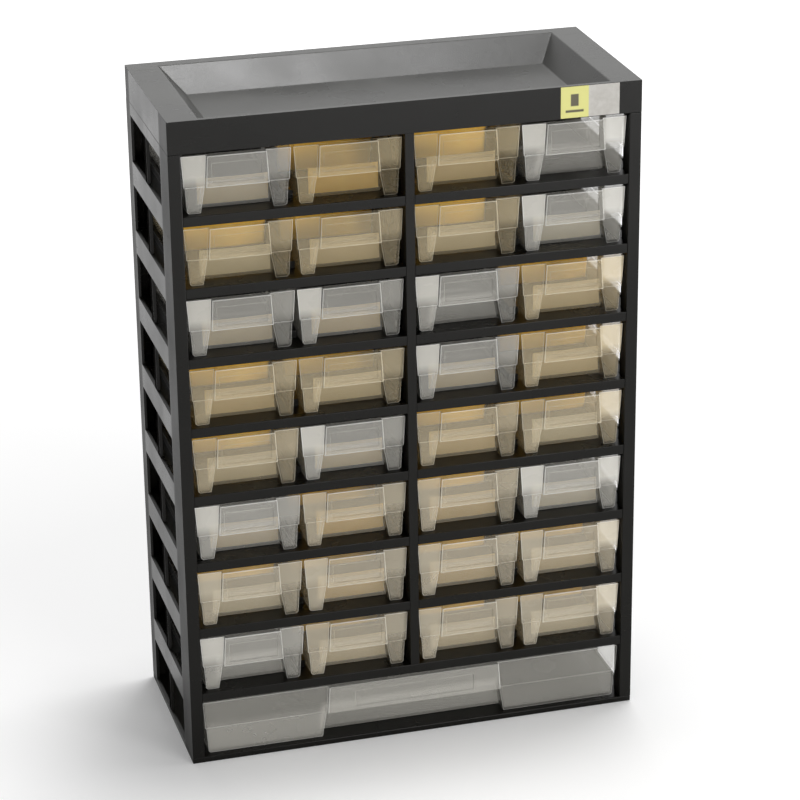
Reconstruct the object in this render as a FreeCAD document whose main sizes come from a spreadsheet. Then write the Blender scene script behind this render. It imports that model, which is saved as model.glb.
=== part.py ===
import FreeCAD, Part
import os
import re
import Sketcher

# Parts bin cabinet: a black plastic carcass that snaps together from flat mouldings,
# with a tray in its top, eight rows of four small see-through drawers and one wide
# drawer at the bottom. Amber dividers stand in some of the small drawers.
#
# X runs to the right, Y to the back and Z up. The origin is the centre of the base's
# underside, the front plane lies at -Y, and every length is in millimetres.

ROWS = 8
COLUMNS = 4
WINDOW_ROWS = ROWS + 1
WINDOW_COLUMNS = 2
BASE_CELL_COLUMNS = 6
BASE_CELL_ROWS = 2
BACK_TABS_PER_SHELF = 4

# Small drawers that hold a divider of their own node, as (row, column).
DIVIDED_DRAWERS = [
    (1, 2), (1, 3), (2, 1), (2, 2), (2, 3), (3, 4),
    (4, 1), (4, 2), (4, 4), (5, 1), (5, 3), (5, 4),
]

# Driving sizes, each set once here and kept in the sheet
SIZES = {
    # carcass
    "cabinet_width": 305,
    "cabinet_depth": 131,
    "cabinet_height": 440,
    "post_width": 8,
    "post_depth": 12,
    "rear_post_depth": 6,
    "side_skin": 2,
    "fit_gap": 0.3,
    "cut_overrun": 2,
    # windows in the sides
    "window_front_margin": 25,
    "window_back_margin": 13,
    "window_rib": 6.5,
    "window_rib_setback": 0.8,
    "window_sill": 0.5,
    "window_height": 31,
    "window_bevel": 0.6,
    # shelves, the ledges that carry them and the centre upright
    "rail_height": 6.5,
    "rail_thick": 3,
    "shelf_thick": 2,
    "ledge_height": 2.5,
    "guide_height": 5,
    "guide_start": 18,
    "guide_gap": 0.8,
    "upright_width": 6,
    "upright_web": 2,
    # base, back and tray
    "base_height": 4,
    "base_floor": 2,
    "base_rim": 6,
    "base_rib": 3,
    "back_thick": 2,
    "back_tab_width": 16,
    "tray_height": 21,
    "tray_side_rim": 20,
    "tray_back_rim": 9,
    "tray_front_rim": 3.5,
    "tray_side_slope": 13.5,
    "tray_back_slope": 21.5,
    "tray_front_slope": 3,
    # sticker on the tray's front rail
    "sticker_width": 39,
    "sticker_margin": 0.3,
    "sticker_thick": 0.4,
    "sticker_from_side": 15,
    # drawers
    "drawer_setback": 4,
    "drawer_side_gap": 0.6,
    "drawer_headroom": 2.8,
    "drawer_rear_gap": 4,
    "drawer_wall": 1.3,
    "drawer_floor": 1.4,
    "front_wall": 2,
    "front_relief": 0.8,
    "drawer_draft": 2.4,
    "tub_corner": 1.2,
    "step_width": 0.8,
    "stop_length": 14,
    "stop_gap": 1,
    "hood_proud": 3,
    "hood_draft": 1.2,
    "scoop_depth": 11,
    "scoop_draft": 3,
    "label_depth": 1,
    "label_top": 5,
    "label_bottom": 2.8,
    # small drawer's front, and the groove for its divider
    "hood_drop": 20.5,
    "hood_width": 40,
    "label_side": 4,
    "groove_distance": 62,
    "groove_rib": 1,
    "divider_thick": 1.2,
    "divider_gap": 0.2,
    "divider_headroom": 2,
    # wide drawer's front
    "wide_hood_drop": 19,
    "wide_hood_width": 120,
    "wide_label_side": 19,
}

doc = FreeCAD.newDocument("parts_bin_cabinet")
sheet = doc.addObject("Spreadsheet::Sheet", "sizes")
for row, (alias, value) in enumerate(SIZES.items(), start=1):
    sheet.set(f"A{row}", alias)
    sheet.set(f"B{row}", str(value))
    sheet.setAlias(f"B{row}", alias)
doc.recompute()


def bound(text):
    """The expression with the sheet's name put before each of its sizes."""
    return re.sub(r"[a-z_]+", lambda word: "sizes." + word[0] if word[0] in SIZES else word[0], text)


# Lengths and places that follow from the driving sizes
LEFT = "(-cabinet_width / 2)"
RIGHT = "(cabinet_width / 2)"
FRONT = "(-cabinet_depth / 2)"
REAR = "(cabinet_depth / 2)"
INNER_RIGHT = f"({RIGHT} - post_width)"
INNER_LEFT = f"({LEFT} + post_width)"
POST_REAR = f"({FRONT} + post_depth)"
BACK_PANEL = f"({REAR} - back_thick)"
SIDE_TOP = "(cabinet_height - tray_height)"
ROW_HEIGHT = f"(({SIDE_TOP} - base_height - {ROWS} * rail_height) / {WINDOW_ROWS})"
ROW_PITCH = f"({ROW_HEIGHT} + rail_height)"
STOP_HANG = "(rail_height - shelf_thick)"
BAY_WIDTH = "((cabinet_width - 2 * post_width - upright_width) / 2)"
DRAWER_PITCH = f"({BAY_WIDTH} / 2)"
DRAWER_HEIGHT = f"({ROW_HEIGHT} - drawer_headroom)"
DRAWER_FRONT = f"({FRONT} + drawer_setback)"
DRAWER_DEPTH = f"({BACK_PANEL} - drawer_rear_gap - {DRAWER_FRONT})"
SMALL_HALF = f"({DRAWER_PITCH} / 2 - drawer_side_gap)"
WIDE_HALF = f"({INNER_RIGHT} - drawer_side_gap)"
GUIDE_HALF = "(drawer_side_gap + drawer_draft + step_width - guide_gap)"


def floor_of(row):
    """Height of the face that the drawers of a row, counted from the top, slide on."""
    return f"({SIDE_TOP} - {row} * {ROW_HEIGHT} - {row - 1} * rail_height)"


def new_body(label):
    body = doc.addObject("PartDesign::Body", label)
    body.Label = label
    return body


def rectangle(left, right, low, high):
    return [(left, low), (right, low), (right, high), (left, high)]


def draw(sketch, points):
    """One closed outline whose corners are bound to the sheet."""
    first = sketch.GeometryCount
    count = len(points)
    corners = [[float(sketch.evalExpression(bound(part))) for part in point] for point in points]
    for index, corner in enumerate(corners):
        following = corners[(index + 1) % count]
        line = Part.LineSegment(FreeCAD.Vector(*corner, 0), FreeCAD.Vector(*following, 0))
        sketch.addGeometry(line, False)
    for index in range(count):
        following = first + (index + 1) % count
        sketch.addConstraint(Sketcher.Constraint("Coincident", first + index, 2, following, 1))
    for index, point in enumerate(points):
        for kind, place, text in zip(("DistanceX", "DistanceY"), corners[index], point):
            constraint = Sketcher.Constraint(kind, -1, 1, first + index, 1, place)
            number = sketch.addConstraint(constraint)
            sketch.setExpression(f"Constraints[{number}]", bound(text))


def sketch_at(body, label, plane, start, outlines):
    """A sketch on one of the body's own planes, moved along the axis that it faces."""
    sketch = body.newObject("Sketcher::SketchObject", label + "_sketch")
    support = next(item for item in body.Origin.OriginFeatures if item.Role == plane + "_Plane")
    sketch.AttachmentSupport = [(support, "")]
    sketch.MapMode = "FlatFace"
    # the XZ plane faces the front, so its offset runs against Y
    sign = "-" if plane == "XZ" else ""
    sketch.setExpression("AttachmentOffset.Base.z", bound(f"{sign}({start})"))
    for points in outlines:
        draw(sketch, points)
    return sketch


def block(body, label, plane, start, length, *outlines, cut=False):
    """A pad, or with cut a pocket, that grows from start along the positive axis."""
    sketch = sketch_at(body, label, plane, start, outlines)
    feature = body.newObject("PartDesign::Pocket" if cut else "PartDesign::Pad", label)
    feature.Profile = sketch
    feature.setExpression("Length", bound(length))
    feature.Reversed = cut == (plane != "XZ")
    return feature


def cut_loft(body, label, plane, wide, narrow):
    """A sloped hollow between two outlines, each given as (start, points)."""
    profile = sketch_at(body, label + "_mouth", plane, wide[0], [wide[1]])
    section = sketch_at(body, label + "_floor", plane, narrow[0], [narrow[1]])
    feature = body.newObject("PartDesign::SubtractiveLoft", label)
    feature.Profile = profile
    feature.Sections = [section]
    feature.Ruled = True
    return feature


def repeat(body, label, feature, axis, step, count):
    """The feature repeated along one of the body's axes, count times in all."""
    pattern = body.newObject("PartDesign::LinearPattern", label)
    pattern.Originals = [feature]
    line = next(item for item in body.Origin.OriginFeatures if item.Role == axis + "_Axis")
    pattern.Direction = (line, [""])
    pattern.setExpression("Length", bound(f"{step} * {count - 1}"))
    pattern.Occurrences = count
    body.Tip = pattern
    return pattern


def place(item, x="0", y="0", z="0"):
    for axis, text in zip("xyz", (x, y, z)):
        item.setExpression(f"Placement.Base.{axis}", bound(text))


def copy_of(original, label, x="0", y="0", z="0"):
    """One more moulding from the same mould, at a place of its own."""
    link = doc.addObject("App::Link", label)
    link.LinkedObject = original
    link.Label = label
    place(link, x, y, z)
    return link


def build_side():
    """Left side: a pierced skin with a post at each end and a ledge for each shelf."""
    body = new_body("side_left")
    height = f"{SIDE_TOP} - base_height"
    block(body, "skin", "YZ", LEFT, "side_skin",
          rectangle(FRONT, REAR, "base_height", SIDE_TOP))
    block(body, "front_post", "XY", "base_height", height,
          rectangle(LEFT, INNER_LEFT, FRONT, POST_REAR))
    block(body, "rear_post", "XY", "base_height", height,
          rectangle(LEFT, INNER_LEFT, f"{REAR} - rear_post_depth", REAR))
    shelf_under = f"({floor_of(ROWS)} - shelf_thick)"
    ledge = block(body, "ledge", "YZ", f"{LEFT} + side_skin", "post_width - side_skin",
                  rectangle(POST_REAR, f"{REAR} - rear_post_depth",
                            f"{shelf_under} - ledge_height", shelf_under))
    repeat(body, "ledges", ledge, "Z", ROW_PITCH, ROWS)
    # windows: wide at the outer face, with a bevel all round and a rib set back between them
    span = f"(cabinet_depth - window_front_margin - window_back_margin - window_rib) / {WINDOW_COLUMNS}"
    low = f"({floor_of(WINDOW_ROWS)} + window_sill)"
    rib_front = f"({FRONT} + window_front_margin + {span})"
    rib = rectangle(rib_front, f"{rib_front} + window_rib", low, f"{low} + window_height")
    setback = block(body, "rib_setback", "YZ", LEFT, "window_rib_setback", rib, cut=True)
    repeat(body, "rib_setbacks", setback, "Z", ROW_PITCH, WINDOW_ROWS)
    for column in range(WINDOW_COLUMNS):
        near = f"({FRONT} + window_front_margin + {column} * ({span} + window_rib))"
        far = f"({near} + {span})"
        mouth = rectangle(near, far, low, f"{low} + window_height")
        throat = rectangle(f"{near} + window_bevel", f"{far} - window_bevel",
                           f"{low} + window_bevel", f"{low} + window_height - window_bevel")
        window = cut_loft(body, f"window_{column + 1}", "YZ", (LEFT, mouth),
                          (f"{LEFT} + side_skin", throat))
        repeat(body, f"windows_{column + 1}", window, "Z", ROW_PITCH, WINDOW_ROWS)
    return body


def mirrored_side(side):
    mirror = doc.addObject("Part::Mirroring", "side_right")
    mirror.Label = "side_right"
    mirror.Source = side
    mirror.Normal = FreeCAD.Vector(1, 0, 0)
    return mirror


def build_base():
    """Base: floor of the wide drawer, with a rim and crossing ribs below."""
    body = new_body("base")
    block(body, "plate", "XY", "0", "base_height", rectangle(LEFT, RIGHT, FRONT, REAR))
    cell_width = f"((cabinet_width - 2 * base_rim + base_rib) / {BASE_CELL_COLUMNS})"
    cell_depth = f"((cabinet_depth - 2 * base_rim + base_rib) / {BASE_CELL_ROWS})"
    cells = []
    for column in range(BASE_CELL_COLUMNS):
        for row in range(BASE_CELL_ROWS):
            left = f"({LEFT} + base_rim + {column} * {cell_width})"
            near = f"({FRONT} + base_rim + {row} * {cell_depth})"
            cells.append(rectangle(left, f"{left} + {cell_width} - base_rib",
                                   near, f"{near} + {cell_depth} - base_rib"))
    block(body, "cells", "XY", "0", "base_height - base_floor", *cells, cut=True)
    return body


def build_back():
    """Back panel, pierced for the tabs of the shelves."""
    body = new_body("back_panel")
    block(body, "panel", "XZ", BACK_PANEL, "back_thick",
          rectangle(INNER_LEFT, INNER_RIGHT, "base_height", SIDE_TOP))
    floor = floor_of(ROWS)
    half_slot = "(back_tab_width / 2 + fit_gap)"
    slots = [rectangle(f"{middle} - {half_slot}", f"{middle} + {half_slot}",
                       f"{floor} - shelf_thick", f"{floor} + fit_gap") for middle in tab_places()]
    slot = block(body, "slot", "XZ", BACK_PANEL, "back_thick", *slots, cut=True)
    repeat(body, "slots", slot, "Z", ROW_PITCH, ROWS)
    return body


def tab_places():
    """Middles of the tabs along a shelf's rear edge."""
    step = f"(cabinet_width / {BACK_TABS_PER_SHELF})"
    return [f"({LEFT} + {index + 0.5} * {step})" for index in range(BACK_TABS_PER_SHELF)]


def build_tray():
    """Top: a tray with sloped walls, a deep front rail and hollow rims."""
    body = new_body("top_tray")
    top = "cabinet_height"
    under = f"({SIDE_TOP} + {STOP_HANG})"
    tray_floor = f"({under} + shelf_thick)"
    block(body, "slab", "XY", SIDE_TOP, "tray_height", rectangle(LEFT, RIGHT, FRONT, REAR))
    block(body, "underside", "XY", SIDE_TOP, STOP_HANG,
          rectangle(INNER_LEFT, INNER_RIGHT, f"{FRONT} + rail_thick", BACK_PANEL), cut=True)
    side_edge = f"({RIGHT} - tray_side_rim)"
    side_foot = f"({side_edge} - tray_side_slope)"
    back_edge = f"({REAR} - tray_back_rim)"
    back_foot = f"({back_edge} - tray_back_slope)"
    mouth = rectangle(f"-{side_edge}", side_edge, f"{FRONT} + tray_front_rim", back_edge)
    floor = rectangle(f"-{side_foot}", side_foot, f"{FRONT} + tray_front_rim + tray_front_slope", back_foot)
    cut_loft(body, "recess", "XY", (top, mouth), (tray_floor, floor))
    # the rims are hollow from below, up to a wall that follows the slopes
    roof = "(cabinet_height - shelf_thick)"
    outer = f"({RIGHT} - side_skin)"
    right = [(outer, SIDE_TOP), (outer, roof), (side_edge, roof), (side_foot, under), (side_foot, SIDE_TOP)]
    left = [(f"-{across}", up) for across, up in right]
    between_posts = f"{REAR} - rear_post_depth - {POST_REAR}"
    block(body, "side_hollows", "XZ", POST_REAR, between_posts, right, left, cut=True)
    rear = [(BACK_PANEL, SIDE_TOP), (BACK_PANEL, roof), (back_edge, roof),
            (back_foot, under), (back_foot, SIDE_TOP)]
    block(body, "rear_hollow", "YZ", INNER_LEFT, f"{INNER_RIGHT} - {INNER_LEFT}", rear, cut=True)
    block(body, "sticker_seat", "XZ", FRONT, "sticker_thick", sticker_outline(), cut=True)
    return body


def sticker_outline():
    right = f"({RIGHT} - sticker_from_side)"
    return rectangle(f"{right} - sticker_width", right,
                     f"{SIDE_TOP} + sticker_margin", "cabinet_height - sticker_margin")


def build_sticker():
    body = new_body("front_sticker")
    block(body, "film", "XZ", FRONT, "sticker_thick", sticker_outline())
    return body


def build_shelf(label, row, notched):
    """Shelf with its front rail, drawer guides and rear tabs, notched for the upright."""
    body = new_body(label)
    end = f"({RIGHT} - side_skin - fit_gap)"
    post_front = f"({POST_REAR} + fit_gap)"
    rear_post = f"({REAR} - rear_post_depth - fit_gap)"
    beside_post = f"({INNER_RIGHT} - fit_gap)"
    right = [(INNER_RIGHT, FRONT), (INNER_RIGHT, post_front), (end, post_front),
             (end, rear_post), (beside_post, rear_post), (beside_post, BACK_PANEL)]
    left = [(f"-({across})", along) for across, along in reversed(right)]
    notch = []
    if notched:
        half = "upright_width / 2"
        notch = [(f"-{half}", FRONT), (f"-{half}", POST_REAR), (half, POST_REAR), (half, FRONT)]
    # local heights: the drawers slide on the face at zero
    block(body, "plate", "XY", "-shelf_thick", "shelf_thick", notch + right + left)
    rail_ends = [("upright_width / 2", INNER_RIGHT), (INNER_LEFT, "-upright_width / 2")]
    if not notched:
        rail_ends = [(INNER_LEFT, INNER_RIGHT)]
    rails = [rectangle(near, far, FRONT, f"{FRONT} + rail_thick") for near, far in rail_ends]
    block(body, "rail", "XY", "-rail_height", "rail_height", *rails)
    bay_middle = f"(upright_width / 2 + {BAY_WIDTH} / 2)"
    spans = [("upright_web / 2", f"upright_width / 2 + {GUIDE_HALF}"),
             (f"{bay_middle} - {GUIDE_HALF}", f"{bay_middle} + {GUIDE_HALF}"),
             (f"{INNER_RIGHT} - {GUIDE_HALF}", f"{INNER_RIGHT} - fit_gap")]
    spans += [(f"-({far})", f"-({near})") for near, far in spans]
    guides = [rectangle(near, far, f"{FRONT} + guide_start", f"{BACK_PANEL} - drawer_rear_gap")
              for near, far in spans]
    block(body, "guides", "XY", "0", "guide_height", *guides)
    tabs = [rectangle(f"{middle} - back_tab_width / 2", f"{middle} + back_tab_width / 2",
                      f"{BACK_PANEL} - back_thick", REAR) for middle in tab_places()]
    block(body, "tabs", "XY", "-shelf_thick", "shelf_thick", *tabs)
    place(body, z=floor_of(row))
    return body


def build_upright():
    """Centre upright: a front post with one web for each row, open between for the shelves."""
    body = new_body("centre_upright")
    foot = floor_of(ROWS)
    block(body, "post", "XY", foot, f"{SIDE_TOP} - {foot}",
          rectangle("-upright_width / 2", "upright_width / 2", FRONT, POST_REAR))
    web = block(body, "web", "XY", foot, f"{ROW_HEIGHT} + {STOP_HANG} - fit_gap",
                rectangle("-upright_web / 2", "upright_web / 2", f"{POST_REAR} - post_depth / 2",
                          f"{REAR} - rear_post_depth - fit_gap"))
    repeat(body, "webs", web, "Z", ROW_PITCH, ROWS)
    return body


def tub_side(half, height, inset, above_step):
    """Half width of a drawer at a height, taken in from its outer face by inset."""
    step = "step_width" if above_step else "0"
    draft = f"drawer_draft * ({height}) / {DRAWER_HEIGHT}"
    return f"({half} - drawer_draft - step_width + {step} + {draft} - {inset})"


def tub_section(half, inset, floor, step, top):
    """Section across a drawer: drafted walls with an outward step at mid height."""
    right = [(tub_side(half, floor, inset, False), floor),
             (tub_side(half, step, inset, False), step),
             (tub_side(half, step, inset, True), step),
             (tub_side(half, top, inset, True), top)]
    left = [(f"-{across}", up) for across, up in reversed(right)]
    return right + left


def groove_band(half, step):
    """Flat U-shaped rib that follows the inside of the tub."""
    top = f"({DRAWER_HEIGHT} - divider_headroom)"
    outer_step = f"({step} + drawer_wall)"
    inner_step = f"({outer_step} + groove_rib)"
    outside = tub_section(half, "drawer_wall / 2", "drawer_floor / 2", outer_step, top)
    inside = tub_section(half, "(drawer_wall + groove_rib)", "(drawer_floor + groove_rib)",
                         inner_step, top)
    # both sections start at the floor's right corner and end at its left corner
    middle = len(outside) // 2
    right = outside[:middle] + inside[:middle][::-1]
    left = inside[middle:][::-1] + outside[middle:]
    return right + left


def build_drawer(label, half, hood_half, drop, label_side, grooved):
    """Drawer at its own origin: middle of the front's foot, with the tub running back."""
    body = new_body(label)
    step = f"({DRAWER_HEIGHT} - {drop})"
    tub = tub_section(half, "0", "0", step, DRAWER_HEIGHT)
    foot = tub_side(half, "tub_corner", "0", False)
    cut_corner = [(f"({foot} - tub_corner)", "0"), (foot, "tub_corner")]
    tub = cut_corner + tub[1:-1] + [(f"-{across}", up) for across, up in reversed(cut_corner)]
    block(body, "tub", "XZ", "0", DRAWER_DEPTH, tub)
    block(body, "hollow", "XZ", "front_wall", f"{DRAWER_DEPTH} - front_wall - drawer_wall",
          tub_section(half, "drawer_wall", "drawer_floor", f"({step} + drawer_wall)",
                      f"({DRAWER_HEIGHT} + cut_overrun)"), cut=True)
    # finger scoop under the hood, with a wall of its own inside the tub
    foot_half = f"({hood_half} + scoop_draft)"
    housing = [(f"-{foot_half} - drawer_wall", "0"), (f"{foot_half} + drawer_wall", "0"),
               (f"{hood_half} + drawer_wall", f"{step} + drawer_wall"),
               (f"-{hood_half} - drawer_wall", f"{step} + drawer_wall")]
    block(body, "scoop_wall", "XZ", "front_wall / 2", "scoop_depth - front_wall / 2 + drawer_wall", housing)
    block(body, "relief", "XZ", "0", "front_relief",
          rectangle(f"-{half}", half, "-cut_overrun", step), cut=True)
    mouth = [(f"-{foot_half}", "-cut_overrun"), (foot_half, "-cut_overrun"),
             (foot_half, "0"), (hood_half, step), (f"-{hood_half}", step), (f"-{foot_half}", "0")]
    block(body, "scoop", "XZ", "0", "scoop_depth", mouth, cut=True)
    hood = [(f"-{hood_half}", step), (hood_half, step),
            (f"{hood_half} - hood_draft", DRAWER_HEIGHT), (f"-{hood_half} + hood_draft", DRAWER_HEIGHT)]
    block(body, "hood", "XZ", "-hood_proud", "hood_proud + front_wall / 2", hood)
    block(body, "label_window", "XZ", "-hood_proud", "label_depth",
          rectangle(f"-{hood_half} + {label_side}", f"{hood_half} - {label_side}",
                    f"{step} + label_bottom", f"{DRAWER_HEIGHT} - label_top"), cut=True)
    # stops at the rear corners, which catch behind the rail above
    rise = f"{ROW_HEIGHT} + {STOP_HANG} - {DRAWER_HEIGHT} - stop_gap"
    stops = [rectangle(f"{half} - drawer_wall", half, f"{DRAWER_DEPTH} - stop_length", DRAWER_DEPTH),
             rectangle(f"-{half}", f"-{half} + drawer_wall", f"{DRAWER_DEPTH} - stop_length", DRAWER_DEPTH)]
    block(body, "stops", "XY", DRAWER_HEIGHT, rise, *stops)
    if grooved:
        for number, start in enumerate(("groove_distance - groove_rib",
                                        "groove_distance + divider_thick + 2 * divider_gap")):
            block(body, f"groove_{number + 1}", "XZ", start, "groove_rib", groove_band(half, step))
    return body


def build_divider(label):
    """Divider at the drawer's origin, standing on the drawer's floor in its groove."""
    body = new_body(label)
    step = f"({DRAWER_HEIGHT} - hood_drop + drawer_wall)"
    section = tub_section(SMALL_HALF, "(drawer_wall + divider_gap)", "drawer_floor",
                          f"({step} + divider_gap)", f"({DRAWER_HEIGHT} - divider_headroom)")
    block(body, "plate", "XZ", "groove_distance + divider_gap", "divider_thick", section)
    return body


def drawer_middle(column):
    """Middle of a column of drawers, counted from the left."""
    steps = column - (COLUMNS + 1) / 2
    side = "-" if steps < 0 else ""
    return f"{side}(upright_width / 2 + {abs(steps)} * {DRAWER_PITCH})"


def build_small_drawers():
    """All small drawers and dividers, cast from two originals at the top left."""
    places = [(row, column) for row in range(1, ROWS + 1) for column in range(1, COLUMNS + 1)]
    drawers = []
    dividers = []
    for row, column in places:
        spot = (drawer_middle(column), DRAWER_FRONT, floor_of(row))
        label = f"drawer_r{row}_c{column}"
        if drawers:
            drawers.append(copy_of(drawers[0], label, *spot))
        else:
            first = build_drawer(label, SMALL_HALF, "(hood_width / 2)", "hood_drop", "label_side", True)
            place(first, *spot)
            drawers.append(first)
        if (row, column) in DIVIDED_DRAWERS:
            label = f"divider_r{row}_c{column}"
            if dividers:
                dividers.append(copy_of(dividers[0], label, *spot))
            else:
                dividers.append(build_divider(label))
                place(dividers[0], *spot)
    return drawers + dividers


def build_shelves():
    first = build_shelf("shelf_1", 1, True)
    copies = [copy_of(first, f"shelf_{row}", z=floor_of(row)) for row in range(2, ROWS)]
    return [first] + copies + [build_shelf(f"shelf_{ROWS}", ROWS, False)]


def build_wide_drawer():
    body = build_drawer("wide_drawer", WIDE_HALF, "(wide_hood_width / 2)", "wide_hood_drop",
                        "wide_label_side", False)
    place(body, "0", DRAWER_FRONT, floor_of(ROWS + 1))
    return body


side = build_side()
nodes = [side, mirrored_side(side), build_base(), build_back(), build_tray(), build_sticker()]
nodes.append(build_upright())
nodes += build_shelves()
nodes.append(build_wide_drawer())
nodes += build_small_drawers()
doc.recompute()

for item in doc.Objects:
    if "Invalid" in item.State or "Error" in item.State:
        raise RuntimeError(f"{item.Label} did not build: {item.State}")

os.makedirs("parts", exist_ok=True)
for node in nodes:
    shape = node.Shape
    if shape.isNull() or not shape.isValid():
        raise RuntimeError(f"{node.Label} has no valid shape")
for node in nodes:
    node.Shape.exportStep(f"parts/{node.Label}.step")
print(len(nodes), "nodes written")
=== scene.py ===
# %% [markdown]
# # A parts bin cabinet
# The cabinet is a black plastic carcass with a tray in its top, rows of small milky drawers
# and one wide drawer at the bottom. The imported frame already holds every moulding at its real
# size, so this lesson adds what moulded plastic looks like close up: rounded edges, a fine
# grain, milky walls with a painted glow at their edges, and the amber cards that stand in the
# drawers.

# %% Load the frame
import math

import bmesh
import bpy
import numpy as np
from mathutils import Matrix, Vector
from mathutils.geometry import delaunay_2d_cdt


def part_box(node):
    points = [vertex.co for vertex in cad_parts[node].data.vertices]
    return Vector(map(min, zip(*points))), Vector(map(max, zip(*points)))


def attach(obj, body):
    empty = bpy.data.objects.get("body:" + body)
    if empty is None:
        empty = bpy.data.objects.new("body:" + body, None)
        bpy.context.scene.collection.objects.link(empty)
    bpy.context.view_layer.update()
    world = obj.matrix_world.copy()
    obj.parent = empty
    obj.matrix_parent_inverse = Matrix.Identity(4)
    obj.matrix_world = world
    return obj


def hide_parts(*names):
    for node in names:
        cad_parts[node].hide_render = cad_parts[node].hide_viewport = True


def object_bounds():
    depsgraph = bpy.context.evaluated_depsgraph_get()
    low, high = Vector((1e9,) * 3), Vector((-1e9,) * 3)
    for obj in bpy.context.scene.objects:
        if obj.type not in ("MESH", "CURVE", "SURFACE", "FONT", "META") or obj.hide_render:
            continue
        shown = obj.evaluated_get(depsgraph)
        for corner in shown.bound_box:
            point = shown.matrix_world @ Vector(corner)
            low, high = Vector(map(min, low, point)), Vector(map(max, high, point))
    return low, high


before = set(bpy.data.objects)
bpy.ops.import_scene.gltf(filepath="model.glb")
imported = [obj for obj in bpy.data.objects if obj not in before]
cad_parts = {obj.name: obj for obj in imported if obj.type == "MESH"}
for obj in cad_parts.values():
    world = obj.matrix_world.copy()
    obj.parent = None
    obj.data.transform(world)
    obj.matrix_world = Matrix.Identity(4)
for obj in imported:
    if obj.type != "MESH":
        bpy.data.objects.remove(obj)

cad_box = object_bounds()

# %% [markdown]
# ## Camera
# The photographer's view is found again from the cabinet's own corners: where the camera
# stands, how it is turned and how long its lens is. The picture was cropped, so the lens axis
# lies a little off the middle, and a small shift puts it back.

# %% Set the camera
AZIMUTH = math.radians(-16.779)
ELEVATION = math.radians(23.056)
ROLL = math.radians(-0.166)
# where the camera stands and how far it sees, in metres
CAMERA_PLACE = Vector((-0.4964, -1.8395, 0.9967))
FARTHEST_SEEN = 50
# the sensor in millimetres, then the picture's side, the lens and its axis in pixels
SENSOR_WIDTH = 36.0
IMAGE_SIDE = 800
FOCAL_PIXELS = 3104.4
AXIS_PIXEL = (470, 440)

backwards = Vector((math.sin(AZIMUTH) * math.cos(ELEVATION),
                    -math.cos(AZIMUTH) * math.cos(ELEVATION), math.sin(ELEVATION)))
level_right = (-backwards).cross(Vector((0, 0, 1))).normalized()
level_up = level_right.cross(-backwards)
right = math.cos(ROLL) * level_right + math.sin(ROLL) * level_up
up = -math.sin(ROLL) * level_right + math.cos(ROLL) * level_up
turn = Matrix((right, up, backwards)).transposed().to_4x4()

camera_data = bpy.data.cameras.new("view")
camera_data.sensor_width = SENSOR_WIDTH
camera_data.lens = FOCAL_PIXELS / IMAGE_SIDE * SENSOR_WIDTH
camera_data.shift_x = (IMAGE_SIDE / 2 - AXIS_PIXEL[0]) / IMAGE_SIDE
camera_data.shift_y = (AXIS_PIXEL[1] - IMAGE_SIDE / 2) / IMAGE_SIDE
camera_data.clip_end = FARTHEST_SEEN
camera = bpy.data.objects.new("view", camera_data)
camera.matrix_world = Matrix.Translation(CAMERA_PLACE) @ turn
bpy.context.collection.objects.link(camera)
bpy.context.scene.camera = camera
print("lens", round(camera_data.lens, 1), "mm, shift", camera_data.shift_x, camera_data.shift_y)

# %% [markdown]
# ## Helpers for materials
# Every finish here is built from shader nodes. One small function adds a node, sets its plain
# values and links its inputs, so that each recipe below reads from top to bottom.

# %% Add a shader node
def add_node(tree, kind, inputs=None, **settings):
    """A node of that kind. An input is a plain value or another node's output."""
    made = tree.nodes.new(kind)
    for key, value in settings.items():
        setattr(made, key, value)
    for key, value in (inputs or {}).items():
        if isinstance(value, bpy.types.NodeSocket):
            tree.links.new(value, made.inputs[key])
        else:
            made.inputs[key].default_value = value
    return made


def new_finish(name):
    """A material with its node tree and its Principled shader."""
    material = bpy.data.materials.new(name)
    material.use_nodes = True
    return material, material.node_tree, material.node_tree.nodes["Principled BSDF"]


print("shader nodes ready")

# %% [markdown]
# ## Sums, ranges and patterns
# A finish goes by numbers: how high a point lies, how level its face is, how strong a pattern
# is there. These helpers move such a number to another range, take numbers together, and mix
# two colours by one. Each result stays between 0 and 1, so no recipe can overshoot.

# %% Take numbers together
# where a colour mix has its two colours and its result
MIX_FIRST, MIX_SECOND, MIX_RESULT = 6, 7, 2


def noise(tree, place, scale, detail, roughness=0.5):
    """Soft noise, scale being the number of lumps in a metre."""
    values = {"Vector": place, "Scale": scale, "Detail": detail, "Roughness": roughness}
    return add_node(tree, "ShaderNodeTexNoise", values).outputs["Fac"]


def spread(tree, value, low, high, from_low=0.0, from_high=1.0):
    """The value moved from one range to another, and kept inside it."""
    values = {"Value": value, "From Min": from_low, "From Max": from_high,
              "To Min": low, "To Max": high}
    return add_node(tree, "ShaderNodeMapRange", values).outputs["Result"]


def taken(tree, operation, first, *others):
    """The values taken together one after the other."""
    result = first
    for value in others:
        result = add_node(tree, "ShaderNodeMath", {0: result, 1: value},
                          operation=operation, use_clamp=True).outputs[0]
    return result


def plus(tree, *values):
    """A sum, never above 1."""
    return taken(tree, "ADD", *values)


def times(tree, *values):
    """A product, never above 1."""
    return taken(tree, "MULTIPLY", *values)


def inside(tree, value, low, high, softness):
    """1 where the value lies between two limits, 0 outside, with soft limits."""
    return times(tree, spread(tree, value, 0, 1, low - softness, low + softness),
                 spread(tree, value, 1, 0, high - softness, high + softness))


def parts_of(tree, vector):
    """The three numbers of a vector, by the names X, Y and Z."""
    return add_node(tree, "ShaderNodeSeparateXYZ", {"Vector": vector}).outputs


def mark_of(tree, name, output="Fac"):
    """A number that the mesh carries for each face or point, 0 where it carries none."""
    return add_node(tree, "ShaderNodeAttribute", attribute_name=name).outputs[output]


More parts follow.
